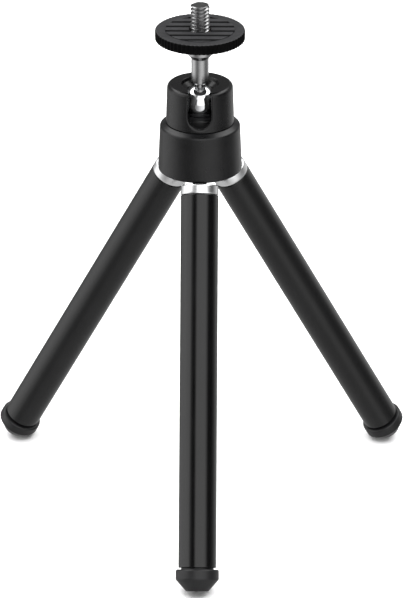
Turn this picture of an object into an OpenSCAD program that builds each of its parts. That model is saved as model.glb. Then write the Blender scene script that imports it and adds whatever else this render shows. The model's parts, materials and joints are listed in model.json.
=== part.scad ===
// Tabletop ball-head tripod with three folding legs and a 1/4 inch camera screw.
// Millimetres, +Z up. The origin is on the standing plane, under the axis of the head.
// The front leg points along -Y, and the slot of the clamp cap faces the same way.

/* [Legs] */
// Angle between each open leg and the vertical
leg_open = 29.9; // [24:0.1:34]
// Distance from the head's axis to each leg hinge
hinge_r = 7.4; // [7.3:0.05:7.6]
// Outside diameter of a leg tube
tube_d = 12.5; // [11.5:0.1:12.5]
// Wall thickness of a leg tube
tube_wall = 0.8; // [0.5:0.1:1.2]
// Distance along the leg from its hinge to the end of the tube
tube_end = 133; // [100:0.5:160]
// Height of the chrome collar at the top of a leg
collar_h = 3.2; // [2:0.1:4]
// Diameter of the widest part of a foot
foot_d = 14.3; // [13:0.1:14.4]
// Height of the straight part of a foot
foot_rim_h = 3.3; // [2:0.1:5]
// Height of the tapered part of a foot
foot_taper_h = 3.9; // [2:0.1:6]
// Diameter of the flat end of a foot
foot_tip_d = 7.4; // [6:0.1:10]
// Shadow gap between a tube's end and its foot
foot_gap = 0.5; // [0.2:0.1:1]

/* [Hub] */
// Diameter of the hub at its lower rim
hub_rim_d = 28.1; // [28:0.1:29]
// Diameter of the hub at its shoulder
hub_top_d = 26.8; // [26:0.1:28]
// Height of the hub from its rim to its shoulder
hub_h = 15.6; // [15.5:0.1:18]
// Height of the sloping shoulder
shoulder_h = 1.15; // [0.8:0.05:1.5]
// Distance from the leg hinges down to the hub's rim
rim_drop = 2.9; // [2.7:0.05:2.9]
// Wall thickness of the hub's skirt
skirt_wall = 1.25; // [1:0.05:1.4]

/* [Clamp cap] */
// Diameter of the cap at its lower edge
cap_bottom_d = 22.8; // [22.4:0.1:23.2]
// Diameter of the cap just under its rounded edge
cap_top_d = 21.9; // [21.4:0.1:22.2]
// Height of the cap
cap_h = 13.6; // [13.2:0.1:14]
// Radius of the cap's rounded top edge
cap_edge_r = 1.3; // [0.6:0.1:1.6]
// Diameter of the sunk opening in the top of the cap
cap_sink_d = 12.6; // [12:0.1:13]
// Width of the slot that the stem tilts into
slot_w = 7.7; // [7:0.1:8]
// Height of the slot's lowest point above the cap's lower edge
slot_floor = 1.4; // [1.2:0.1:2.2]

/* [Ball and stem] */
// Diameter of the ball
ball_d = 12; // [11.6:0.1:12.2]
// Height of the ball's centre above the cap's lower edge
ball_rise = 6.8; // [6.6:0.1:7]
// Diameter of the stem
stem_d = 5.8; // [5:0.1:5.9]
// Diameter of the stem's neck, where it enters the ball
neck_d = 3.5; // [3:0.1:3.8]
// Diameter of the shoulder that the platform rests on
flange_d = 8.4; // [7.8:0.1:9]
// Distance from the ball's centre up to the platform's underside
stem_reach = 22.4; // [20:0.1:26]

/* [Camera platform] */
// Diameter of the platform
platform_d = 29.8; // [28:0.1:31]
// Height of the platform's body without the pad's crown
platform_h = 3.5; // [2.8:0.1:3.6]
// Number of teeth round the platform's rim
teeth = 64; // [48:1:90]
// Depth of the teeth
tooth_depth = 0.3; // [0.1:0.05:0.4]
// Diameter of the rubber pad
pad_d = 23; // [20:0.1:24]
// Distance that the pad stands proud of the platform
pad_proud = 0.2; // [0.1:0.05:0.4]
// Number of straight grooves across the pad
grooves = 6; // [2:1:6]
// Width of a groove
groove_w = 1.6; // [1:0.1:2]
// Distance from one groove to the next
groove_pitch = 4; // [3:0.1:4]
// Major diameter of the camera thread, 1/4 inch
screw_d = 6.35; // [6.3:0.01:6.4]
// Length of camera thread above the platform
screw_len = 8.5; // [7.5:0.1:10]

/* [Hidden] */
// Clearance round a part that turns, and round a part that only sits in its place
run_gap = 0.05;
sit_gap = 0.05;
ball_gap = 0.1;
round_fn = 96;
small_fn = 48;
arc_steps = 8;

AZIMUTH_FRONT = -90;
AZIMUTH_RIGHT = 30;
AZIMUTH_LEFT = 150;

// Leg, measured down its axis from the hinge
hinge_pin_d = 2.5;
pin_half = 4.3;
eye_r = 3;
tongue_t = 4.6;
collar_top = 5.95;
plug_end = 22;
plug_d = tube_d - 2 * tube_wall - 2 * sit_gap;
plug_recess = 0.1;
collar_end = collar_top + collar_h;
tube_start = collar_end + 0.15;
collar_edge = 0.5;
foot_top = tube_end + foot_gap;
foot_end = foot_top + foot_rim_h + foot_taper_h;
foot_spigot = 12;
foot_edge = 0.5;

// Heights above the standing plane
hinge_z = foot_end * cos(leg_open) + foot_tip_d / 2 * sin(leg_open);
rim_z = hinge_z - rim_drop;
shoulder_z = rim_z + hub_h;
cap_z = shoulder_z + shoulder_h;
ball_z = cap_z + ball_rise;
platform_z = ball_z + stem_reach;
pad_top_z = platform_z + platform_h + pad_proud;

// Hub
hub_neck_d = 16.8;
hub_neck_h = 3.1;
seat_d = 13.6;
seat_floor_z = cap_z - 0.25;
seat_top_z = cap_z + 2.95;
deck_z = cap_z - 4;
deck_r = hub_top_d / 2 - skirt_wall;
edge_cut = 0.25;
spider_screw_d = 3;
spider_hole_top_z = cap_z - 0.9;

// Spider
spider_plate_h = 2.2;
spider_plate_r = deck_r - 0.3;
spider_top_z = deck_z - 0.02;
column_r = 3.4;
column_end_z = spider_top_z - 6.2;
ear_t = 1.8;
ear_r = 3.2;
ear_inner = tongue_t / 2 + 0.1;
washer_h = 0.5;
washer_d = 6.4;
screw_head_d = 5.4;
screw_head_h = 1.7;
drive_d = 2.4;
drive_depth = 1;

// Cap
cap_thread_d = hub_neck_d + 2 * run_gap;
cap_bore_h = hub_neck_h + 0.2;
cavity_r = ball_d / 2 + ball_gap;
lip_r = 4.4;
lip_land = 0.3;

// Stem and screw
stem_start = 6.9;
stem_edge = 0.6;
flange_h = 5;
flange_cone_h = 1.5;
flange_rest = 0.1;
tang_depth = 2.8;
screw_root_d = 6;
screw_in_stem = 4.6;
screw_tip = 0.25;

// Platform
pad_depth = 1;
groove_depth = 0.8;
insert_d = 9.6;
insert_h = 2;
pad_hole_d = 7.2;
platform_edge = 0.35;
tooth_clear = 0.05;

// Points along an arc round c, from angle a0 to angle a1
function arc(c, r, a0, a1) = [
    for (i = [0 : arc_steps])
        let (a = a0 + (a1 - a0) * i / arc_steps)
        [c[0] + r * cos(a), c[1] + r * sin(a)]
];

// Outline of a toothed rim: each tooth is one high and one low point
function toothed(r_high, r_low, count) = [
    for (i = [0 : 2 * count - 1])
        let (a = 180 * i / count, r = i % 2 == 0 ? r_high : r_low)
        [r * cos(a), r * sin(a)]
];

// Turned part, upright, from an outline of radius and height
module turned(outline) {
    rotate_extrude($fn = round_fn) polygon(outline);
}

// Puts children, which hang from a hinge at the origin, in the place of one leg
module at_leg(azimuth) {
    rotate([0, 0, azimuth])
        translate([hinge_r, 0, hinge_z])
            rotate([0, -leg_open, 0])
                children();
}

// Cylinder along the hinge line of a leg, centred on the leg
module across(d, length) {
    rotate([90, 0, 0]) cylinder(d = d, h = length, center = true, $fn = small_fn);
}

// Skirt, shoulder and threaded neck in one moulding, open below
module hub_body() {
    rim_r = hub_rim_d / 2;
    top_r = hub_top_d / 2;
    cap_r = cap_bottom_d / 2;
    neck_r = hub_neck_d / 2;
    seat_r = seat_d / 2 + sit_gap;
    hole_r = spider_screw_d / 2 + 0.02;
    neck_z = cap_z + hub_neck_h;
    color("#26262a")
        turned([
            [hole_r, deck_z], [deck_r, deck_z], [rim_r - skirt_wall, rim_z],
            [rim_r - edge_cut, rim_z], [rim_r, rim_z + edge_cut],
            [top_r, shoulder_z], [cap_r + 0.1, cap_z - 0.1], [neck_r, cap_z - 0.1],
            [neck_r, neck_z - edge_cut], [neck_r - edge_cut, neck_z], [seat_r, neck_z],
            [seat_r, seat_floor_z], [0, seat_floor_z],
            [0, spider_hole_top_z], [hole_r, spider_hole_top_z]
        ]);
}

// Cup that the ball is pressed into
module ball_seat() {
    cup_r = ball_d / 2 + run_gap;
    drop = ball_z - seat_top_z;
    lip_angle = asin(-drop / cup_r);
    color("#3a3a3c")
        turned(concat(
            [[0, seat_floor_z + sit_gap], [seat_d / 2, seat_floor_z + sit_gap], [seat_d / 2, seat_top_z]],
            arc([0, ball_z], cup_r, lip_angle, -90)
        ));
}

// Carrier screwed up into the hub, with a pair of ears for each leg
module leg_spider() {
    color("#2c2c2e")
        difference() {
            union() {
                translate([0, 0, spider_top_z - spider_plate_h])
                    cylinder(r = spider_plate_r, h = spider_plate_h, $fn = round_fn);
                translate([0, 0, column_end_z])
                    cylinder(r = column_r, h = spider_top_z - column_end_z, $fn = small_fn);
                for (azimuth = [AZIMUTH_FRONT, AZIMUTH_RIGHT, AZIMUTH_LEFT], side = [-1, 1])
                    rotate([0, 0, azimuth]) spider_ear(side);
            }
            translate([0, 0, column_end_z - 1])
                cylinder(d = spider_screw_d + 0.2, h = 12, $fn = small_fn);
            for (azimuth = [AZIMUTH_FRONT, AZIMUTH_RIGHT, AZIMUTH_LEFT])
                rotate([0, 0, azimuth])
                    translate([hinge_r, 0, hinge_z]) across(hinge_pin_d + 0.02, 2 * pin_half + 2);
        }
}

// One ear beside a leg's tongue, with a round end on the hinge line
module spider_ear(side) {
    middle = side * (ear_inner + ear_t / 2);
    ear_top = spider_top_z - spider_plate_h + 0.1;
    translate([hinge_r, middle, hinge_z]) across(2 * ear_r, ear_t);
    translate([hinge_r - ear_r, middle - ear_t / 2, hinge_z])
        cube([2 * ear_r, ear_t, ear_top - hinge_z]);
}

// Flat washer under the head of the spider's screw
module spider_washer() {
    color("#b8babd")
        translate([0, 0, column_end_z - 0.02 - washer_h])
            difference() {
                cylinder(d = washer_d, h = washer_h, $fn = small_fn);
                translate([0, 0, -1])
                    cylinder(d = spider_screw_d + 0.2, h = washer_h + 2, $fn = small_fn);
            }
}

// Screw that holds the spider up in the hub, head down, with a six-sided socket
module spider_screw() {
    head_z = column_end_z - washer_h - 0.04;
    color("#9a9c9f")
        difference() {
            union() {
                translate([0, 0, head_z - screw_head_h])
                    cylinder(d = screw_head_d, h = screw_head_h, $fn = small_fn);
                translate([0, 0, head_z - 0.1])
                    cylinder(d = spider_screw_d, h = spider_hole_top_z - 0.2 - head_z, $fn = small_fn);
            }
            translate([0, 0, head_z - screw_head_h - 1])
                cylinder(d = drive_d, h = drive_depth + 1, $fn = 6);
        }
}

// Pin through the ears and the leg's eye
module hinge_pin(azimuth) {
    color("#a6a8ab")
        rotate([0, 0, azimuth])
            translate([hinge_r, 0, hinge_z]) across(hinge_pin_d, 2 * pin_half);
}

// Eye, tongue and plug: the moulding that fills the top of a leg tube
module knuckle(azimuth) {
    plug_top = collar_top + plug_recess;
    color("#2a2a2c")
        at_leg(azimuth)
            difference() {
                union() {
                    across(2 * eye_r, tongue_t);
                    translate([-eye_r, -tongue_t / 2, -plug_top - 1])
                        cube([2 * eye_r, tongue_t, plug_top + 1]);
                    translate([0, 0, -plug_end])
                        cylinder(d = plug_d, h = plug_end - plug_top, $fn = round_fn);
                }
                across(hinge_pin_d + 2 * run_gap, tongue_t + 2);
            }
}

// Chrome ring between the hub and the tube
module collar(azimuth) {
    outer = tube_d / 2;
    inner = plug_d / 2 + sit_gap;
    color("#e4e6e8")
        at_leg(azimuth)
            turned([
                [inner, -collar_end], [outer - collar_edge, -collar_end],
                [outer, collar_edge - collar_end], [outer, -collar_top - collar_edge],
                [outer - collar_edge, -collar_top], [inner, -collar_top]
            ]);
}

// Round metal tube of a leg
module tube(azimuth) {
    outer = tube_d / 2;
    inner = outer - tube_wall;
    color("#1d1d20")
        at_leg(azimuth)
            turned([
                [inner, -tube_end], [outer - 0.2, -tube_end], [outer, 0.2 - tube_end],
                [outer, -tube_start - 0.2], [outer - 0.2, -tube_start], [inner, -tube_start]
            ]);
}

// Rubber foot with a spigot that plugs into the tube
module foot(azimuth) {
    outer = foot_d / 2;
    tip = foot_tip_d / 2;
    spigot = plug_d / 2;
    rim_end = foot_top + foot_rim_h;
    color("#18181a")
        at_leg(azimuth)
            turned([
                [0, -foot_end], [tip, -foot_end], [outer - 0.2, -rim_end],
                [outer, -foot_top - foot_edge], [outer - foot_edge, -foot_top],
                [spigot, -foot_top], [spigot, foot_spigot - foot_top], [0, foot_spigot - foot_top]
            ]);
}

// Barrel that screws down over the ball, with a slot down one side
module clamp_cap() {
    bottom_r = cap_bottom_d / 2;
    top_r = cap_top_d / 2;
    top_z = cap_z + cap_h;
    bore_z = cap_z + cap_bore_h;
    lip_angle = acos(lip_r / cavity_r);
    lip_z = ball_z + cavity_r * sin(lip_angle);
    slot_z = cap_z + slot_floor + slot_w / 2;
    color("#232327")
        difference() {
            turned(concat(
                [[cap_thread_d / 2, cap_z], [bottom_r - edge_cut, cap_z], [bottom_r, cap_z + edge_cut]],
                arc([top_r - cap_edge_r, top_z - cap_edge_r], cap_edge_r, 0, 90),
                [[cap_sink_d / 2, top_z], [lip_r, lip_z + lip_land]],
                arc([0, ball_z], cavity_r, lip_angle, 0),
                [[cavity_r, bore_z], [cap_thread_d / 2, bore_z]]
            ));
            translate([0, -bottom_r - 1, slot_z]) {
                rotate([-90, 0, 0]) cylinder(d = slot_w, h = bottom_r + 1, $fn = small_fn);
                translate([-slot_w / 2, 0, 0]) cube([slot_w, bottom_r + 1, cap_h]);
            }
        }
}

// Ball with a blind bore for the stem's tang
module ball() {
    color("#d9dbdd")
        difference() {
            translate([0, 0, ball_z]) sphere(d = ball_d, $fn = round_fn);
            translate([0, 0, ball_z - tang_depth - 0.1])
                cylinder(d = neck_d + 2 * run_gap, h = ball_d, $fn = small_fn);
        }
}

// Stem with the shoulder under the platform and a threaded socket for the screw
module ball_stem() {
    stem_r = stem_d / 2;
    tang_r = neck_d / 2;
    start_z = ball_z + stem_start;
    top_z = platform_z - flange_rest;
    socket_r = screw_d / 2 + 0.02;
    socket_z = top_z - screw_in_stem - 0.1;
    color("#c9cbce")
        turned([
            [0, ball_z - tang_depth], [tang_r, ball_z - tang_depth], [tang_r, start_z],
            [stem_r - stem_edge, start_z], [stem_r, start_z + stem_edge],
            [stem_r, top_z - flange_h - flange_cone_h], [flange_d / 2, top_z - flange_h],
            [flange_d / 2, top_z], [socket_r, top_z], [socket_r, socket_z], [0, socket_z]
        ]);
}

// Camera stud: plain cylinders at the thread's major diameter and at its run-out
module camera_screw() {
    screw_r = screw_d / 2;
    root_r = screw_root_d / 2;
    start_z = platform_z - flange_rest - screw_in_stem;
    tip_z = pad_top_z + screw_len;
    color("#c2c4c7")
        turned([
            [0, start_z], [screw_r, start_z], [screw_r, platform_z - flange_rest],
            [root_r, platform_z - flange_rest], [root_r, pad_top_z], [screw_r, pad_top_z],
            [screw_r, tip_z - screw_tip], [screw_r - screw_tip, tip_z], [0, tip_z]
        ]);
}

// Threaded bush of the platform
module platform_insert() {
    color("#c8a45a")
        translate([0, 0, platform_z])
            difference() {
                cylinder(d = insert_d, h = insert_h, $fn = small_fn);
                translate([0, 0, -1])
                    cylinder(d = screw_d + 2 * run_gap, h = insert_h + 2, $fn = small_fn);
            }
}

// Toothed locking disc that turns on the camera thread
module platform_disc() {
    outer = platform_d / 2;
    round_r = outer + tooth_clear;
    pad_floor = platform_h - pad_depth;
    color("#222224")
        translate([0, 0, platform_z])
            difference() {
                intersection() {
                    linear_extrude(platform_h) polygon(toothed(outer, outer - tooth_depth, teeth));
                    turned([
                        [0, 0], [round_r - platform_edge, 0], [round_r, platform_edge],
                        [round_r, platform_h - platform_edge], [round_r - platform_edge, platform_h],
                        [0, platform_h]
                    ]);
                }
                translate([0, 0, pad_floor])
                    cylinder(d = pad_d + 2 * sit_gap, h = platform_h, $fn = round_fn);
                translate([0, 0, -1])
                    cylinder(d = insert_d + 2 * run_gap, h = platform_h + 2, $fn = small_fn);
            }
}

// Rubber pad with straight grooves, set in the top of the disc
module platform_pad() {
    thickness = pad_depth + pad_proud;
    color("#303032")
        translate([0, 0, pad_top_z - thickness])
            difference() {
                cylinder(d = pad_d, h = thickness, $fn = round_fn);
                translate([0, 0, -1]) cylinder(d = pad_hole_d, h = thickness + 2, $fn = small_fn);
                for (i = [0 : grooves - 1])
                    translate([
                        -pad_d / 2,
                        (i - (grooves - 1) / 2) * groove_pitch - groove_w / 2,
                        thickness - groove_depth
                    ])
                        cube([pad_d, groove_w, groove_depth + 1]);
            }
}

hub_body();
ball_seat();
leg_spider();
spider_washer();
spider_screw();
hinge_pin(AZIMUTH_FRONT);  // hinge_pin_front
hinge_pin(AZIMUTH_RIGHT);  // hinge_pin_right
hinge_pin(AZIMUTH_LEFT);  // hinge_pin_left
clamp_cap();
ball();
ball_stem();
camera_screw();
platform_insert();
platform_disc();
platform_pad();
knuckle(AZIMUTH_FRONT);  // knuckle_front
knuckle(AZIMUTH_RIGHT);  // knuckle_right
knuckle(AZIMUTH_LEFT);  // knuckle_left
collar(AZIMUTH_FRONT);  // collar_front
collar(AZIMUTH_RIGHT);  // collar_right
collar(AZIMUTH_LEFT);  // collar_left
tube(AZIMUTH_FRONT);  // tube_front
tube(AZIMUTH_RIGHT);  // tube_right
tube(AZIMUTH_LEFT);  // tube_left
foot(AZIMUTH_FRONT);  // foot_front
foot(AZIMUTH_RIGHT);  // foot_right
foot(AZIMUTH_LEFT);  // foot_left
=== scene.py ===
"""Looks of a tabletop ball-head tripod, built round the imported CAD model.

Metres, +Z up, and the front of the tripod faces -Y. Turned pieces are outlines of (radius, height, fillet)
spun round Z. Heights and radii come from the CAD nodes; the sizes below are details inside those nodes.
"""

import json
import math

import bmesh
import bpy
from mathutils import Matrix, Vector


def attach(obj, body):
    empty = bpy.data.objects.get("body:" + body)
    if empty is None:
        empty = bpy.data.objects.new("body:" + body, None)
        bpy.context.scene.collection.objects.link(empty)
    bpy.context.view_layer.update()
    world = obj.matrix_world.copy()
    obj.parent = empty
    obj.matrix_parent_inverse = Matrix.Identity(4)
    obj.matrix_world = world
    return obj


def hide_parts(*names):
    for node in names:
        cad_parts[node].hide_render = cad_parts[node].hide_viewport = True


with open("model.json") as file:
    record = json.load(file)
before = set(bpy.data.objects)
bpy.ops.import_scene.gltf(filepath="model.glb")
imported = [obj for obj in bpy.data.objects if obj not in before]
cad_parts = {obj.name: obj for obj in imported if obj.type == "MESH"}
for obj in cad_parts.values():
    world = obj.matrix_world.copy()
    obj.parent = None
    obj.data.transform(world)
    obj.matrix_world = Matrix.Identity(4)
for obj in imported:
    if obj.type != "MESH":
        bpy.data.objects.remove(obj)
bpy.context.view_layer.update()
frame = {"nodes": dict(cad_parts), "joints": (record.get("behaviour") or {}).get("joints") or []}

MM = 0.001
SIDES = ("front", "right", "left")
UPRIGHT = Matrix.Identity(4)
PLAY = 0.05 * MM

# Legs
LEG_OPEN = math.radians(29.9)
TUBE_WALL = 0.8 * MM
FOOT_RIM = 3.3 * MM
FOOT_TIP_R = 3.7 * MM
FOOT_SPIGOT = 12 * MM
PIN_DOME = 0.25 * MM

# Hub
HUB_TOP_R = 13.4 * MM
SHOULDER = 1.15 * MM
SKIRT_WALL = 1.25 * MM
NECK_R = 8.4 * MM
SEAT_R = 6.8 * MM
POCKET_DEPTH = 0.25 * MM
DECK_DROP = 4 * MM
SCREW_HOLE_R = 1.52 * MM
SCREW_HOLE_DROP = 0.9 * MM

# Clamp cap
CAP_TOP_R = 10.95 * MM
CAP_EDGE = 1.5 * MM
CAP_BORE = 3.3 * MM
SINK_R = 6.3 * MM
SINK_STEP = 1.1 * MM
LIP_R = 4.4 * MM
LIP_LAND = 0.3 * MM
CAVITY_GAP = 0.1 * MM
SLOT_R = 3.85 * MM
SLOT_FLOOR = 1.4 * MM
SLOT_EDGE = 0.8 * MM

# Ball, stem and camera screw
BORE_R = 1.8 * MM
TANG_R = 1.75 * MM
TANG_DEPTH = 2.8 * MM
STEM_R = 2.9 * MM
STEM_START = 6.9 * MM
FLANGE = 5 * MM
FLANGE_CONE = 1.5 * MM
SOCKET_R = 3.195 * MM
SOCKET_DEPTH = 4.7 * MM
PITCH = 1.27 * MM
THREAD_DEPTH = 0.76 * MM
TIP_CHAMFER = 0.25 * MM

# Platform
TEETH = 64
TOOTH_DEPTH = 0.3 * MM
DISC_BORE_R = 4.85 * MM
PAD_THICKNESS = 1.2 * MM
PAD_PROUD = 0.2 * MM
PAD_HOLE_R = 3.6 * MM
GROOVES = 6
GROOVE_PITCH = 4 * MM
GROOVE_W = 1.6 * MM
GROOVE_DEPTH = 0.8 * MM

# Camera and floor
CAMERA_ELEVATION = math.radians(25.5)
CAMERA_AZIMUTH = math.radians(0.7)
CAMERA_DISTANCE = 1.24
CAMERA_TARGET = Vector((0.0008, -0.0259, 0.0842))
CAMERA_LENS = 224
CAMERA_SENSOR = 36
CAMERA_RANGE = 20
FLOOR_HALF = 4
LAMP_HEIGHT = 2
LAMP_SIDE = 3
LAMP_POWER = 80


# ---------------------------------------------------------------- mesh tools

def reach(node, place=UPRIGHT):
    """Largest radius of a CAD node round the Z axis of a place, and its lowest and highest point along it."""
    back = place.inverted()
    points = [back @ v.co for v in frame["nodes"][node].data.vertices]
    heights = [p.z for p in points]
    return max(math.hypot(p.x, p.y) for p in points), min(heights), max(heights)


def leg_place(side):
    """Where a leg hangs: the origin on its hinge, and -Z down the leg."""
    joint = next(j for j in frame["joints"] if j["name"] == f"leg_{side}_fold")
    hinge = Vector(joint["pos_m"])
    turn = Matrix.Rotation(math.atan2(hinge.y, hinge.x), 4, "Z")
    return Matrix.Translation(hinge) @ turn @ Matrix.Rotation(-LEG_OPEN, 4, "Y")


def arc(centre, radius, start, end, steps):
    """Outline points along an arc, from angle start to angle end in degrees."""
    angles = [math.radians(start + (end - start) * i / steps) for i in range(steps + 1)]
    return [(centre[0] + radius * math.cos(a), centre[1] + radius * math.sin(a), 0) for a in angles]


def rounded(outline, steps=6):
    """Closed outline of (x, y, fillet) with each corner turned into an arc of its fillet."""
    points = []
    for i, (x, y, fillet) in enumerate(outline):
        corner = Vector((x, y))
        if fillet == 0:
            points.append(corner)
            continue
        before = (Vector(outline[i - 1][:2]) - corner).normalized()
        after = (Vector(outline[(i + 1) % len(outline)][:2]) - corner).normalized()
        half = before.angle(after) / 2
        centre = corner + (before + after).normalized() * fillet / math.sin(half)
        first = corner + before * fillet / math.tan(half) - centre
        last = corner + after * fillet / math.tan(half) - centre
        start = math.atan2(first.y, first.x)
        sweep = (math.atan2(last.y, last.x) - start + math.pi) % (2 * math.pi) - math.pi
        for k in range(steps + 1):
            angle = start + sweep * k / steps
            points.append(centre + fillet * Vector((math.cos(angle), math.sin(angle))))
    return points


def bridge(bm, one, two):
    """Faces between two rings of vertices; a ring of one vertex is a pole."""
    count = max(len(one), len(two))
    if count == 1:
        return
    for i in range(count):
        j = (i + 1) % count
        corners = [one[i % len(one)], one[j % len(one)], two[j % len(two)], two[i % len(two)]]
        bm.faces.new(list(dict.fromkeys(corners)))


def mesh_from(name, bm):
    """Mesh with its faces turned outwards; the BMesh is used up."""
    bmesh.ops.recalc_face_normals(bm, faces=bm.faces)
    mesh = bpy.data.meshes.new(name)
    bm.to_mesh(mesh)
    bm.free()
    return mesh


def turned(name, outline, segments=128, wave=None, steps=6):
    """Mesh spun round Z from a closed outline; wave(radius, angle) may change a radius."""
    bm = bmesh.new()
    rings = []
    for radius, height in rounded(outline, steps):
        if radius < 1e-7:
            rings.append([bm.verts.new((0, 0, height))])
            continue
        ring = []
        for i in range(segments):
            angle = 2 * math.pi * i / segments
            r = wave(radius, angle) if wave else radius
            ring.append(bm.verts.new((r * math.cos(angle), r * math.sin(angle), height)))
        rings.append(ring)
    for one, two in zip(rings, rings[1:] + rings[:1]):
        bridge(bm, one, two)
    return mesh_from(name, bm)


def plain_object(name, mesh):
    obj = bpy.data.objects.new(name, mesh)
    bpy.context.scene.collection.objects.link(obj)
    return obj


def spun_object(name, outline, segments=128, wave=None, steps=6):
    return plain_object(name, turned(name, outline, segments, wave, steps))


def placed_object(name, mesh, place):
    """Object whose mesh is moved to its place; the points keep where they were in the attribute "rest"."""
    rest = mesh.attributes.new("rest", "FLOAT_VECTOR", "POINT")
    for item, vertex in zip(rest.data, mesh.vertices):
        item.vector = vertex.co
    mesh.transform(place)
    return plain_object(name, mesh)


def combine(obj, other, operation):
    """Boolean of obj with another object, which is used up."""
    step = obj.modifiers.new("combine", "BOOLEAN")
    step.operation, step.object, step.solver = operation, other, "EXACT"
    evaluated = obj.evaluated_get(bpy.context.evaluated_depsgraph_get())
    obj.data = bpy.data.meshes.new_from_object(evaluated)
    obj.modifiers.clear()
    bpy.data.objects.remove(other)


def shade(obj, crease=38):
    """Smooth shading that keeps flat faces flat and creases sharp."""
    obj.data.shade_smooth()
    obj.data.set_sharp_from_angle(angle=math.radians(crease))
    normals = obj.modifiers.new("normals", "WEIGHTED_NORMAL")
    normals.keep_sharp = True


def finish_piece(obj, material, body, slot, *nodes):
    """Gives a piece its material and its body, and hides the CAD nodes that it stands for."""
    obj.data.materials.clear()
    obj.data.materials.append(material)
    shade(obj)
    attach(obj, body)
    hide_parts(*nodes)


def part_material(obj, material, chosen):
    """Second material on the faces that chosen(face) picks."""
    obj.data.materials.append(material)
    for face in obj.data.polygons:
        if chosen(face):
            face.material_index = 1


def finish_node(node, material, bevel):
    """Gives a CAD node that stays its material and softens its edges."""
    obj = frame["nodes"][node]
    obj.data.materials.clear()
    obj.data.materials.append(material)
    weld = obj.modifiers.new("weld", "WELD")
    weld.merge_threshold = 1e-6
    edge = obj.modifiers.new("edges", "BEVEL")
    edge.width, edge.segments, edge.limit_method = bevel, 3, "ANGLE"
    edge.angle_limit = math.radians(40)
    obj.modifiers.new("normals", "WEIGHTED_NORMAL")


# ---------------------------------------------------------------- materials

class Surface:
    """One procedural material: a principled shader fed by textures in object space, or in a leg's own space."""

    def __init__(self, name, metallic=0.0, specular=0.5, on_leg=False):
        self.material = bpy.data.materials.new(name)
        self.material.use_nodes = True
        self.nodes = self.material.node_tree.nodes
        self.links = self.material.node_tree.links
        self.shader = self.nodes["Principled BSDF"]
        self.shader.inputs["Metallic"].default_value = metallic
        self.shader.inputs["Specular IOR Level"].default_value = specular
        if on_leg:
            rest = self.nodes.new("ShaderNodeAttribute")
            rest.attribute_name = "rest"
            self.place = rest.outputs["Vector"]
        else:
            self.place = self.nodes.new("ShaderNodeTexCoord").outputs["Object"]
        self.normal = None

    def noise(self, size, detail=3, stretch=(1, 1, 1)):
        """Noise with features of about that size in metres, stretched along the axes."""
        mapping = self.nodes.new("ShaderNodeMapping")
        mapping.inputs["Scale"].default_value = [1 / (size * s) for s in stretch]
        texture = self.nodes.new("ShaderNodeTexNoise")
        texture.inputs["Scale"].default_value = 1
        texture.inputs["Detail"].default_value = detail
        self.links.new(self.place, mapping.inputs["Vector"])
        self.links.new(mapping.outputs["Vector"], texture.inputs["Vector"])
        return texture.outputs["Fac"]

    def colour(self, factor, dark, light):
        """Base colour between two colours, where the factor runs over the middle of its range."""
        ramp = self.nodes.new("ShaderNodeValToRGB")
        ramp.color_ramp.elements[0].position, ramp.color_ramp.elements[1].position = 0.3, 0.7
        ramp.color_ramp.elements[0].color = (*dark, 1)
        ramp.color_ramp.elements[1].color = (*light, 1)
        self.links.new(factor, ramp.inputs["Fac"])
        self.links.new(ramp.outputs["Color"], self.shader.inputs["Base Color"])
        return self

    def gloss(self, factor, low, high):
        """Roughness between two values."""
        span = self.nodes.new("ShaderNodeMapRange")
        span.inputs["From Min"].default_value, span.inputs["From Max"].default_value = 0.3, 0.7
        span.inputs["To Min"].default_value, span.inputs["To Max"].default_value = low, high
        self.links.new(factor, span.inputs["Value"])
        self.links.new(span.outputs["Result"], self.shader.inputs["Roughness"])
        return self

    def bump(self, factor, depth):
        """Relief of that depth in metres, on top of the relief so far."""
        relief = self.nodes.new("ShaderNodeBump")
        relief.inputs["Distance"].default_value = depth
        relief.inputs["Strength"].default_value = 1
        self.links.new(factor, relief.inputs["Height"])
        if self.normal:
            self.links.new(self.normal, relief.inputs["Normal"])
        self.normal = relief.outputs["Normal"]
        self.links.new(self.normal, self.shader.inputs["Normal"])
        return self


def grey(value, blue=1.08):
    return (value, value, value * blue)


def moulded(name, dark, light, rough, grain, depth, specular):
    """Moulded plastic or rubber: a fine grain over slow changes of tone and gloss."""
    s = Surface(name, specular=specular)
    s.colour(s.noise(6 * MM), grey(dark), grey(light))
    s.gloss(s.noise(2.5 * MM, detail=5), *rough)
    s.bump(s.noise(grain, detail=4), depth)
    return s.material


def lacquer(name):
    """Gloss black lacquer on a drawn tube: faint orange peel over drawing lines along the tube."""
    s = Surface(name, on_leg=True)
    s.colour(s.noise(9 * MM), grey(0.0014), grey(0.0024))
    s.gloss(s.noise(3 * MM, detail=5, stretch=(1, 1, 4)), 0.15, 0.2)
    s.bump(s.noise(0.9 * MM, detail=2), 0.0012 * MM)
    s.bump(s.noise(0.18 * MM, detail=2, stretch=(1, 1, 60)), 0.0006 * MM)
    return s.material


def plated(name, low, high, rough):
    """Mirror plating: slow changes of tone, and a haze that breaks up the gloss."""
    s = Surface(name, metallic=1)
    s.colour(s.noise(4 * MM), low, high)
    s.gloss(s.noise(1.4 * MM, detail=6), *rough)
    s.bump(s.noise(0.6 * MM, detail=2), 0.0006 * MM)
    return s.material


def machined(name, low, high, rough, depth):
    """Turned metal: fine tool marks round the axis."""
    s = Surface(name, metallic=1)
    s.colour(s.noise(3 * MM), low, high)
    marks = s.noise(0.12 * MM, detail=3, stretch=(80, 80, 1))
    s.gloss(marks, *rough)
    s.bump(marks, depth)
    return s.material


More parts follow.
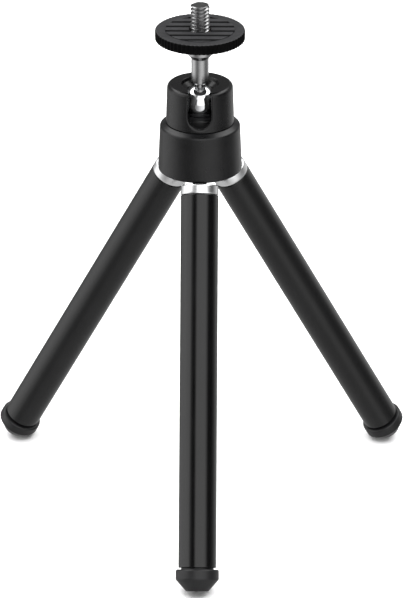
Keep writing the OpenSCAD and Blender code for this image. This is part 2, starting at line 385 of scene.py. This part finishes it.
hub_plastic = moulded("hub_plastic", 0.0035, 0.0055, (0.27, 0.34), 0.09 * MM, 0.004 * MM, 0.36)
cap_plastic = moulded("cap_plastic", 0.003, 0.0045, (0.22, 0.28), 0.09 * MM, 0.003 * MM, 0.36)
disc_plastic = moulded("disc_plastic", 0.012, 0.016, (0.46, 0.58), 0.10 * MM, 0.010 * MM, 0.4)
# Darker, duller copy of the disc plastic for the knurled rim: painted shade between the teeth and on the sides
# away from the light above
knurl_painted_shade = moulded("knurl_painted_shade", 0.001, 0.002, (0.5, 0.6), 0.10 * MM, 0.006 * MM, 0.04)
inner_plastic = moulded("inner_plastic", 0.010, 0.016, (0.45, 0.6), 0.12 * MM, 0.008 * MM, 0.45)
seat_nylon = moulded("seat_nylon", 0.012, 0.020, (0.38, 0.5), 0.15 * MM, 0.006 * MM, 0.4)
pad_rubber = moulded("pad_rubber", 0.014, 0.020, (0.55, 0.7), 0.14 * MM, 0.016 * MM, 0.4)
# Darker copy of the pad rubber for the grooves: painted shade in the recesses
groove_painted_shade = moulded("groove_painted_shade", 0.005, 0.008, (0.6, 0.75), 0.14 * MM, 0.012 * MM, 0.25)
foot_rubber = moulded("foot_rubber", 0.005, 0.008, (0.34, 0.48), 0.16 * MM, 0.010 * MM, 0.4)
tube_lacquer = lacquer("tube_lacquer")
ball_chrome = plated("ball_chrome", (0.80, 0.81, 0.83), (0.88, 0.89, 0.90), (0.03, 0.06))
collar_chrome = plated("collar_chrome", (0.90, 0.91, 0.92), (0.96, 0.96, 0.96), (0.26, 0.34))
stem_steel = machined("stem_steel", (0.42, 0.42, 0.425), (0.47, 0.47, 0.47), (0.24, 0.32), 0.0008 * MM)
screw_steel = machined("screw_steel", (0.30, 0.30, 0.305), (0.38, 0.38, 0.38), (0.2, 0.28), 0.0012 * MM)
zinc_steel = machined("zinc_steel", (0.50, 0.51, 0.52), (0.64, 0.64, 0.64), (0.3, 0.42), 0.002 * MM)
bush_brass = machined("bush_brass", (0.66, 0.48, 0.20), (0.80, 0.61, 0.30), (0.25, 0.36), 0.002 * MM)


# ---------------------------------------------------------------- head

rim_r, rim_z, neck_z = reach("hub_body")
cap_r, cap_z, cap_top = reach("clamp_cap")
ball_r, ball_low, _ = reach("ball")
ball_z = ball_low + ball_r
disc_r, disc_low, disc_top = reach("platform_disc")
shoulder_z = cap_z - SHOULDER
deck_z = cap_z - DECK_DROP
seat_r, seat_low, seat_top = reach("ball_seat")


def hub():
    hole_top = cap_z - SCREW_HOLE_DROP
    inner_r = rim_r - SKIRT_WALL
    step_z = cap_z - 0.1 * MM
    pocket_r = SEAT_R + PLAY
    pocket_z = cap_z - POCKET_DEPTH
    outline = [
        (SCREW_HOLE_R, deck_z, 0.15 * MM), (HUB_TOP_R - SKIRT_WALL, deck_z, 0.5 * MM),
        (inner_r, rim_z, 0.25 * MM), (rim_r, rim_z, 0.45 * MM),
        (HUB_TOP_R, shoulder_z, 0.9 * MM), (cap_r + 0.1 * MM, step_z, 0.12 * MM),
        (NECK_R, step_z, 0.1 * MM), (NECK_R, neck_z, 0.3 * MM),
        (pocket_r, neck_z, 0.15 * MM), (pocket_r, pocket_z, 0), (0, pocket_z, 0),
        (0, hole_top, 0), (SCREW_HOLE_R, hole_top, 0),
    ]
    obj = spun_object("hub_shell", outline, 192)
    finish_piece(obj, hub_plastic, "hub", "hub_plastic", "hub_body")


def seat():
    cup_r = ball_r + PLAY
    drop = ball_z - seat_top
    lip = -math.degrees(math.asin(drop / cup_r))
    curve = arc((0, ball_z), cup_r, lip, -90, 32)
    # The fillet of the lip takes the place of the curve's first points
    lip_point = (curve[0][0], curve[0][1], 0.35 * MM)
    outline = [(0, seat_low, 0), (seat_r, seat_low, 0.2 * MM), (seat_r, seat_top, 0.3 * MM), lip_point]
    obj = spun_object("seat_cup", outline + curve[3:], 128)
    finish_piece(obj, seat_nylon, "hub", "seat_nylon", "ball_seat")


def slot_cutter():
    """U-shaped cutter along -Y that flares to follow the cap's outside, so that the slot gets a rounded edge."""
    centre_z = cap_z + SLOT_FLOOR + SLOT_R
    wall_steps, edge_steps = 32, 8
    top_z = cap_top + 2 * MM
    taper = (cap_r - CAP_TOP_R) / (cap_top - cap_z)
    wall = [(1, 0, top_z)]
    wall += [(math.cos(a), math.sin(a), centre_z) for a in (
        -math.pi * i / wall_steps for i in range(wall_steps + 1))]
    wall += [(-1, 0, top_z)]

    def ring(offset, depth=None, y=None):
        points = []
        for across, down, base_z in wall:
            x = across * (SLOT_R + offset)
            z = base_z + down * (SLOT_R + offset)
            outside = cap_r - taper * (z - cap_z)
            points.append((x, y if depth is None else depth - math.sqrt(outside ** 2 - x ** 2), z))
        return points

    stop = math.radians(72)
    rings = [ring(0, y=0)]
    for k in range(edge_steps + 1):
        angle = stop * k / edge_steps
        rings.append(ring(SLOT_EDGE * (1 - math.cos(angle)), SLOT_EDGE * (1 - math.sin(angle))))
    run = 0.6 * MM
    last = SLOT_EDGE * (1 - math.cos(stop)) + run * math.sin(stop)
    rings.append(ring(last, SLOT_EDGE * (1 - math.sin(stop)) - run * math.cos(stop)))
    rings.append(ring(last, y=-cap_r - 2 * MM))
    bm = bmesh.new()
    made = [[bm.verts.new(p) for p in points] for points in rings]
    for one, two in zip(made, made[1:]):
        bridge(bm, one, two)
    bm.faces.new(made[0])
    bm.faces.new(made[-1])
    return plain_object("slot_cutter", mesh_from("slot_cutter", bm))


def clamp_cap():
    cavity_r = ball_r + CAVITY_GAP
    lip = math.degrees(math.acos(LIP_R / cavity_r))
    lip_z = ball_z + cavity_r * math.sin(math.radians(lip))
    bore_r = NECK_R + PLAY
    bore_z = cap_z + CAP_BORE
    outline = [
        (bore_r, cap_z, 0.15 * MM), (cap_r, cap_z, 0.3 * MM), (CAP_TOP_R, cap_top, CAP_EDGE),
        (SINK_R, cap_top, 0.3 * MM), (SINK_R - 0.35 * MM, cap_top - SINK_STEP, 0.35 * MM),
        (LIP_R, lip_z + LIP_LAND, 0.12 * MM),
    ]
    outline += arc((0, ball_z), cavity_r, lip, 0, 24)
    outline += [(cavity_r, bore_z, 0), (bore_r, bore_z, 0)]
    obj = spun_object("clamp_cap_shell", outline, 192, steps=12)
    combine(obj, slot_cutter(), "DIFFERENCE")
    finish_piece(obj, cap_plastic, "cap", "cap_plastic", "clamp_cap")


def ball():
    mouth = math.degrees(math.acos(BORE_R / ball_r))
    floor_z = ball_z - TANG_DEPTH - 0.1 * MM
    surface = arc((0, ball_z), ball_r, mouth, -90, 96)
    surface[0] = (surface[0][0], surface[0][1], 0.12 * MM)
    surface[-1] = (0, ball_low, 0)
    outline = [(0, floor_z, 0), (BORE_R, floor_z, 0)] + surface
    obj = spun_object("ball_polished", outline, 160)
    finish_piece(obj, ball_chrome, "ball", "ball_chrome", "ball")


def stem():
    flange_r, _, top = reach("ball_stem")
    start = ball_z + STEM_START
    outline = [
        (0, ball_z - TANG_DEPTH, 0), (TANG_R, ball_z - TANG_DEPTH, 0.2 * MM), (TANG_R, start, 0.15 * MM),
        (STEM_R - 0.6 * MM, start, 0.15 * MM), (STEM_R, start + 0.6 * MM, 0.3 * MM),
        (STEM_R, top - FLANGE - FLANGE_CONE, 0.4 * MM), (flange_r, top - FLANGE, 0.5 * MM),
        (flange_r, top, 0.35 * MM), (SOCKET_R, top, 0.2 * MM),
        (SOCKET_R, top - SOCKET_DEPTH, 0), (0, top - SOCKET_DEPTH, 0),
    ]
    obj = spun_object("stem_turned", outline, 128)
    finish_piece(obj, stem_steel, "stem", "stem_steel", "ball_stem")


def thread_mesh(radius, low, high, steps=72):
    """Closed right-hand screw thread between two heights, with flat ends."""
    root = radius - THREAD_DEPTH
    profile = [
        (0.00, root), (0.09, root), (0.14, root + 0.07 * THREAD_DEPTH), (0.41, radius - 0.07 * THREAD_DEPTH),
        (0.44, radius), (0.56, radius), (0.59, radius - 0.07 * THREAD_DEPTH), (0.86, root + 0.07 * THREAD_DEPTH),
        (0.91, root),
    ]
    start = low - 2 * PITCH
    total = steps * math.ceil((high - low) / PITCH + 4)
    bm = bmesh.new()
    grid = []
    for i in range(total + 1):
        angle = 2 * math.pi * i / steps
        rise = start + PITCH * i / steps
        grid.append([bm.verts.new((r * math.cos(angle), r * math.sin(angle), rise + PITCH * share))
                     for share, r in profile])
    last = len(profile) - 1
    for i in range(total):
        for j in range(last):
            bm.faces.new((grid[i][j], grid[i + 1][j], grid[i + 1][j + 1], grid[i][j + 1]))
        if i + 1 + steps <= total:
            bm.faces.new((grid[i][last], grid[i + 1][last], grid[i + 1 + steps][0], grid[i + steps][0]))
    for height, up in ((low, -1), (high, 1)):
        everything = bm.verts[:] + bm.edges[:] + bm.faces[:]
        bmesh.ops.bisect_plane(
            bm, geom=everything, plane_co=(0, 0, height), plane_no=(0, 0, up), clear_outer=True)
    bmesh.ops.holes_fill(bm, edges=[e for e in bm.edges if e.is_boundary], sides=0)
    return mesh_from("camera_screw_thread", bm)


def camera_screw():
    radius, low, high = reach("camera_screw")
    obj = plain_object("camera_screw_thread", thread_mesh(radius, low, high))
    room = 1 * MM
    envelope = [
        (0, low - room, 0), (radius + room, low - room, 0), (radius + room, high - TIP_CHAMFER - room, 0),
        (radius - TIP_CHAMFER - room, high + room, 0), (0, high + room, 0),
    ]
    combine(obj, spun_object("envelope", envelope, 72), "INTERSECT")
    finish_piece(obj, screw_steel, "stem", "screw_steel", "camera_screw")


def disc():
    pad_r, _, _ = reach("platform_pad")
    floor_z = disc_top - (PAD_THICKNESS - PAD_PROUD)
    step_r = pad_r + PLAY

    def knurl(radius, angle):
        share = min(1, max(0, (radius - disc_r + 0.9 * MM) / (0.6 * MM)))
        return radius - TOOTH_DEPTH * share * abs(math.sin(TEETH * angle / 2))

    outline = [
        (DISC_BORE_R, disc_low, 0.2 * MM), (disc_r, disc_low, 0.4 * MM), (disc_r, disc_top, 0.4 * MM),
        (step_r, disc_top, 0.12 * MM), (step_r, floor_z, 0), (DISC_BORE_R, floor_z, 0.1 * MM),
    ]
    obj = spun_object("platform_disc_knurled", outline, TEETH * 10, knurl)
    finish_piece(obj, disc_plastic, "platform", "disc_plastic", "platform_disc")
    # The rim's sides take the darker copy of the disc plastic: painted shade, so the top stays lighter than the
    # sides
    part_material(obj, knurl_painted_shade, lambda face: face.normal.z < 0.5 and face.center.xy.length > step_r)


def pad():
    pad_r, low, top = reach("platform_pad")
    outline = [
        (PAD_HOLE_R, low, 0), (pad_r, low, 0), (pad_r, top, 0.18 * MM), (PAD_HOLE_R, top, 0.18 * MM),
    ]
    obj = spun_object("platform_pad_grooved", outline, 128)
    half = GROOVE_W / 2
    section = rounded([
        (-half - 0.35 * MM, top + 0.3 * MM, 0), (-half, top - 0.05 * MM, 0.15 * MM),
        (-half + 0.15 * MM, top - GROOVE_DEPTH, 0.2 * MM), (half - 0.15 * MM, top - GROOVE_DEPTH, 0.2 * MM),
        (half, top - 0.05 * MM, 0.15 * MM), (half + 0.35 * MM, top + 0.3 * MM, 0),
    ])
    bm = bmesh.new()
    for i in range(GROOVES):
        middle = (i - (GROOVES - 1) / 2) * GROOVE_PITCH
        ends = [[bm.verts.new((x, middle + y, z)) for y, z in section] for x in (-pad_r - MM, pad_r + MM)]
        bridge(bm, *ends)
        for end in ends:
            bm.faces.new(end)
    combine(obj, plain_object("grooves", mesh_from("grooves", bm)), "DIFFERENCE")
    finish_piece(obj, pad_rubber, "platform", "pad_rubber", "platform_pad")
    # Faces below the lands take the darker copy: painted shade on the groove walls and floors
    part_material(obj, groove_painted_shade, lambda face: face.center.z < top - 0.15 * MM)


def insert():
    radius, low, top = reach("platform_insert")

    def knurl(r, angle):
        return r - 0.12 * MM * abs(math.sin(20 * angle)) if r > radius - 0.05 * MM else r

    bore_r = reach("camera_screw")[0] + PLAY
    outline = [
        (bore_r, low, 0.2 * MM), (radius, low, 0.15 * MM), (radius, top, 0.15 * MM), (bore_r, top, 0.2 * MM),
    ]
    obj = spun_object("bush_turned", outline, 320, knurl)
    finish_piece(obj, bush_brass, "bush", "bush_brass", "platform_insert")


# ---------------------------------------------------------------- hinge hardware

def spider_hardware():
    radius, low, top = reach("spider_washer")
    hole_r = 1.6 * MM
    outline = [
        (hole_r, low, 0.08 * MM), (radius, low, 0.12 * MM), (radius, top, 0.12 * MM), (hole_r, top, 0.08 * MM),
    ]
    washer = spun_object("spider_washer_turned", outline)
    finish_piece(washer, zinc_steel, "hub", "zinc_steel", "spider_washer")

    head_r, low, top = reach("spider_screw")
    head_z = low + 1.7 * MM
    shank_r = 1.5 * MM
    drive_r = 1.2 * MM
    drive_z = low + 1 * MM

    def hexagon(r, angle):
        if r > drive_r + 0.1 * MM:
            return r
        from_flat = (angle + math.pi / 6) % (math.pi / 3) - math.pi / 6
        return r * math.cos(math.pi / 6) / math.cos(from_flat)

    outline = [
        (0, drive_z, 0), (drive_r, drive_z, 0), (drive_r, low, 0), (drive_r + 0.25 * MM, low, 0),
        (head_r, low, 0.35 * MM), (head_r, head_z, 0.15 * MM), (shank_r, head_z, 0.1 * MM),
        (shank_r, top, 0.3 * MM), (0, top, 0),
    ]
    screw = spun_object("spider_screw_turned", outline, 96, hexagon)
    finish_piece(screw, zinc_steel, "hub", "zinc_steel", "spider_screw")


def hinge_pin(side):
    """Pin with domed ends, lying across the leg."""
    place = leg_place(side) @ Matrix.Rotation(math.pi / 2, 4, "X")
    radius, low, high = reach(f"hinge_pin_{side}", place)
    outline = [
        (0, low, 0), (radius * 0.6, low, 0.6 * MM), (radius, low + PIN_DOME, 0.15 * MM),
        (radius, high - PIN_DOME, 0.15 * MM), (radius * 0.6, high, 0.6 * MM), (0, high, 0),
    ]
    obj = placed_object(f"hinge_pin_domed_{side}", turned("hinge_pin_domed", outline, 64), place)
    finish_piece(obj, zinc_steel, "hub", "pin_steel", f"hinge_pin_{side}")


# ---------------------------------------------------------------- legs

def leg(side):
    place = leg_place(side)
    body = f"leg_{side}"

    def part(name, outline, material, slot, node, segments=128):
        obj = placed_object(f"{name}_{side}", turned(name, outline, segments), place)
        finish_piece(obj, material, body, slot, f"{node}_{side}")

    outer, low, top = reach(f"tube_{side}", place)
    inner = outer - TUBE_WALL
    part("leg_tube", [
        (inner, low, 0.12 * MM), (outer, low, 0.4 * MM), (outer, top, 0.3 * MM), (inner, top, 0.12 * MM),
    ], tube_lacquer, "tube_black", "tube", 192)

    outer, low, top = reach(f"collar_{side}", place)
    inner = outer - 0.8 * MM
    part("leg_collar", [
        (inner, low, 0.1 * MM), (outer - 0.12 * MM, low, 0.15 * MM), (outer, low + 0.5 * MM, 0.5 * MM),
        (outer, top, 0.6 * MM), (inner, top, 0),
    ], collar_chrome, "collar_chrome", "collar", 192)

    outer, low, top = reach(f"foot_{side}", place)
    shelf = top - FOOT_SPIGOT
    spigot = reach(f"tube_{side}", place)[0] - TUBE_WALL - PLAY
    part("leg_foot", [
        (0, low, 0), (FOOT_TIP_R, low, 0.35 * MM), (outer, shelf - FOOT_RIM, 0.9 * MM),
        (outer, shelf, 0.6 * MM), (spigot, shelf, 0), (spigot, top, 0.4 * MM), (0, top, 0),
    ], foot_rubber, "foot_rubber", "foot", 192)

    finish_node(f"knuckle_{side}", inner_plastic, 0.25 * MM)


# ---------------------------------------------------------------- studio

def floor():
    bm = bmesh.new()
    bmesh.ops.create_grid(bm, x_segments=8, y_segments=8, size=FLOOR_HALF)
    obj = plain_object("studio_floor", mesh_from("studio_floor", bm))
    s = Surface("floor_paper", specular=0.1)
    s.colour(s.noise(30 * MM), (0.90, 0.90, 0.90), (0.92, 0.92, 0.92))
    s.gloss(s.noise(4 * MM), 0.85, 0.95)
    s.bump(s.noise(0.5 * MM), 0.02 * MM)
    obj.data.materials.append(s.material)
    obj.visible_glossy = False


# Brightness round the tripod, by angle from the front and positive to the right: two large soft boxes, in front
# and to the left, with dark gaps between them that draw the edges of round glossy parts
STUDIO = (
    (-180, 0.05), (-142, 0.05), (-118, 0.13), (-106, 0.48), (-62, 0.48), (-46, 0.08), (-37, 0.01), (-24, 0.02),
    (-12, 0.43), (-4, 0.48), (47, 0.48), (56, 0.28), (67, 0.015), (94, 0.01), (112, 0.1), (150, 0.08), (180, 0.05),
)
# The same, softened, where the light comes back from the table
TABLE = (
    (-180, 0.12), (-142, 0.08), (-124, 0.23), (-106, 0.34), (-87, 0.36), (-70, 0.26), (-55, 0.12), (-38, 0.06),
    (-26, 0.07), (-13, 0.13), (-1, 0.22), (12, 0.29), (25, 0.32), (40, 0.31), (53, 0.21), (67, 0.1), (84, 0.06),
    (102, 0.08), (126, 0.19), (150, 0.22), (180, 0.12),
)
# Light from above the boxes, on both sides and in front
ABOVE = (
    (-180, 0.03), (-165, 0.2), (-150, 1), (-95, 1), (-66, 0.25), (-36, 0.05), (-12, 0.45), (50, 0.48), (66, 0.25),
    (95, 1), (150, 1), (165, 0.2), (180, 0.03),
)
ZENITH = 0.03
UNDERNEATH = 0.15
STUDIO_STRENGTH = 3.4
# Elevations in degrees between which one light fades into the next
UNDERNEATH_TO_TABLE = (-58, -22)
TABLE_TO_STUDIO = (-8, 6)
STUDIO_TO_ABOVE = (30, 42)
ABOVE_TO_ZENITH = (62, 74)


def studio_world():
    """Soft studio light from all round, with a white background where the camera looks past the floor."""
    world = bpy.data.worlds.new("studio")
    bpy.context.scene.world = world
    world.use_nodes = True
    nodes, links = world.node_tree.nodes, world.node_tree.links

    def math_node(operation, *inputs):
        node = nodes.new("ShaderNodeMath")
        node.operation = operation
        for socket, value in zip(node.inputs, inputs):
            if isinstance(value, (int, float)):
                socket.default_value = value
            else:
                links.new(value, socket)
        return node.outputs["Value"]

    split = nodes.new("ShaderNodeSeparateXYZ")
    links.new(nodes.new("ShaderNodeTexCoord").outputs["Generated"], split.inputs["Vector"])
    angle = math_node("ARCTAN2", split.outputs["X"], math_node("MULTIPLY", split.outputs["Y"], -1))
    share = math_node("MULTIPLY_ADD", angle, 1 / (2 * math.pi), 0.5)

    def around(levels):
        ramp = nodes.new("ShaderNodeValToRGB")
        ramp.color_ramp.interpolation = "EASE"
        stops = ramp.color_ramp.elements
        while len(stops) < len(levels):
            stops.new(0.5)
        for stop, (degrees, value) in zip(stops, levels):
            stop.position = degrees / 360 + 0.5
            stop.color = (value, value, value, 1)
        links.new(share, ramp.inputs["Fac"])
        return ramp.outputs["Color"]

    def flat(value):
        colour = nodes.new("ShaderNodeRGB")
        colour.outputs["Color"].default_value = (value, value, value, 1)
        return colour.outputs["Color"]

    def by_height(below, above, start, end):
        """Fades from one light to another between two elevations in degrees."""
        height = nodes.new("ShaderNodeMapRange")
        height.interpolation_type = "SMOOTHSTEP"
        height.inputs["From Min"].default_value = math.sin(math.radians(start))
        height.inputs["From Max"].default_value = math.sin(math.radians(end))
        links.new(split.outputs["Z"], height.inputs["Value"])
        blend = nodes.new("ShaderNodeMix")
        blend.data_type = "RGBA"
        links.new(height.outputs["Result"], blend.inputs["Factor"])
        links.new(below, blend.inputs["A"])
        links.new(above, blend.inputs["B"])
        return blend.outputs["Result"]

    sky = by_height(flat(UNDERNEATH), around(TABLE), *UNDERNEATH_TO_TABLE)
    sky = by_height(sky, around(STUDIO), *TABLE_TO_STUDIO)
    sky = by_height(sky, around(ABOVE), *STUDIO_TO_ABOVE)
    sky = by_height(sky, flat(ZENITH), *ABOVE_TO_ZENITH)

    light = nodes["Background"]
    light.inputs["Strength"].default_value = STUDIO_STRENGTH
    links.new(sky, light.inputs["Color"])
    white = nodes.new("ShaderNodeBackground")
    white.inputs["Color"].default_value = (1, 1, 1, 1)
    either = nodes.new("ShaderNodeMixShader")
    links.new(nodes.new("ShaderNodeLightPath").outputs["Is Camera Ray"], either.inputs["Fac"])
    links.new(light.outputs["Background"], either.inputs[1])
    links.new(white.outputs["Background"], either.inputs[2])
    links.new(either.outputs["Shader"], nodes["World Output"].inputs["Surface"])


def lamp():
    """Large soft lamp overhead, left out of reflections, that turns the table white."""
    light = bpy.data.lights.new("overhead", "AREA")
    light.shape, light.size, light.energy = "SQUARE", LAMP_SIDE, LAMP_POWER
    obj = bpy.data.objects.new("overhead", light)
    bpy.context.scene.collection.objects.link(obj)
    obj.location = (0, 0, LAMP_HEIGHT)
    obj.visible_glossy = obj.visible_camera = False


def camera():
    lens = bpy.data.cameras.new("camera")
    lens.lens = CAMERA_LENS
    lens.sensor_width = CAMERA_SENSOR
    level = math.cos(CAMERA_ELEVATION)
    back = Vector((
        math.sin(CAMERA_AZIMUTH) * level, -math.cos(CAMERA_AZIMUTH) * level, math.sin(CAMERA_ELEVATION)))
    obj = bpy.data.objects.new("camera", lens)
    bpy.context.scene.collection.objects.link(obj)
    obj.location = CAMERA_TARGET + back * CAMERA_DISTANCE
    obj.rotation_euler = (-back).to_track_quat("-Z", "Y").to_euler()
    lens.clip_end = CAMERA_RANGE
    bpy.context.scene.camera = obj
    bpy.context.scene.view_settings.view_transform = "Standard"


hub()
seat()
clamp_cap()
ball()
stem()
camera_screw()
disc()
pad()
insert()
spider_hardware()
finish_node("leg_spider", inner_plastic, 0.25 * MM)
for side in SIDES:
    hinge_pin(side)
    leg(side)
floor()
studio_world()
lamp()
camera()

bpy.context.view_layer.update()
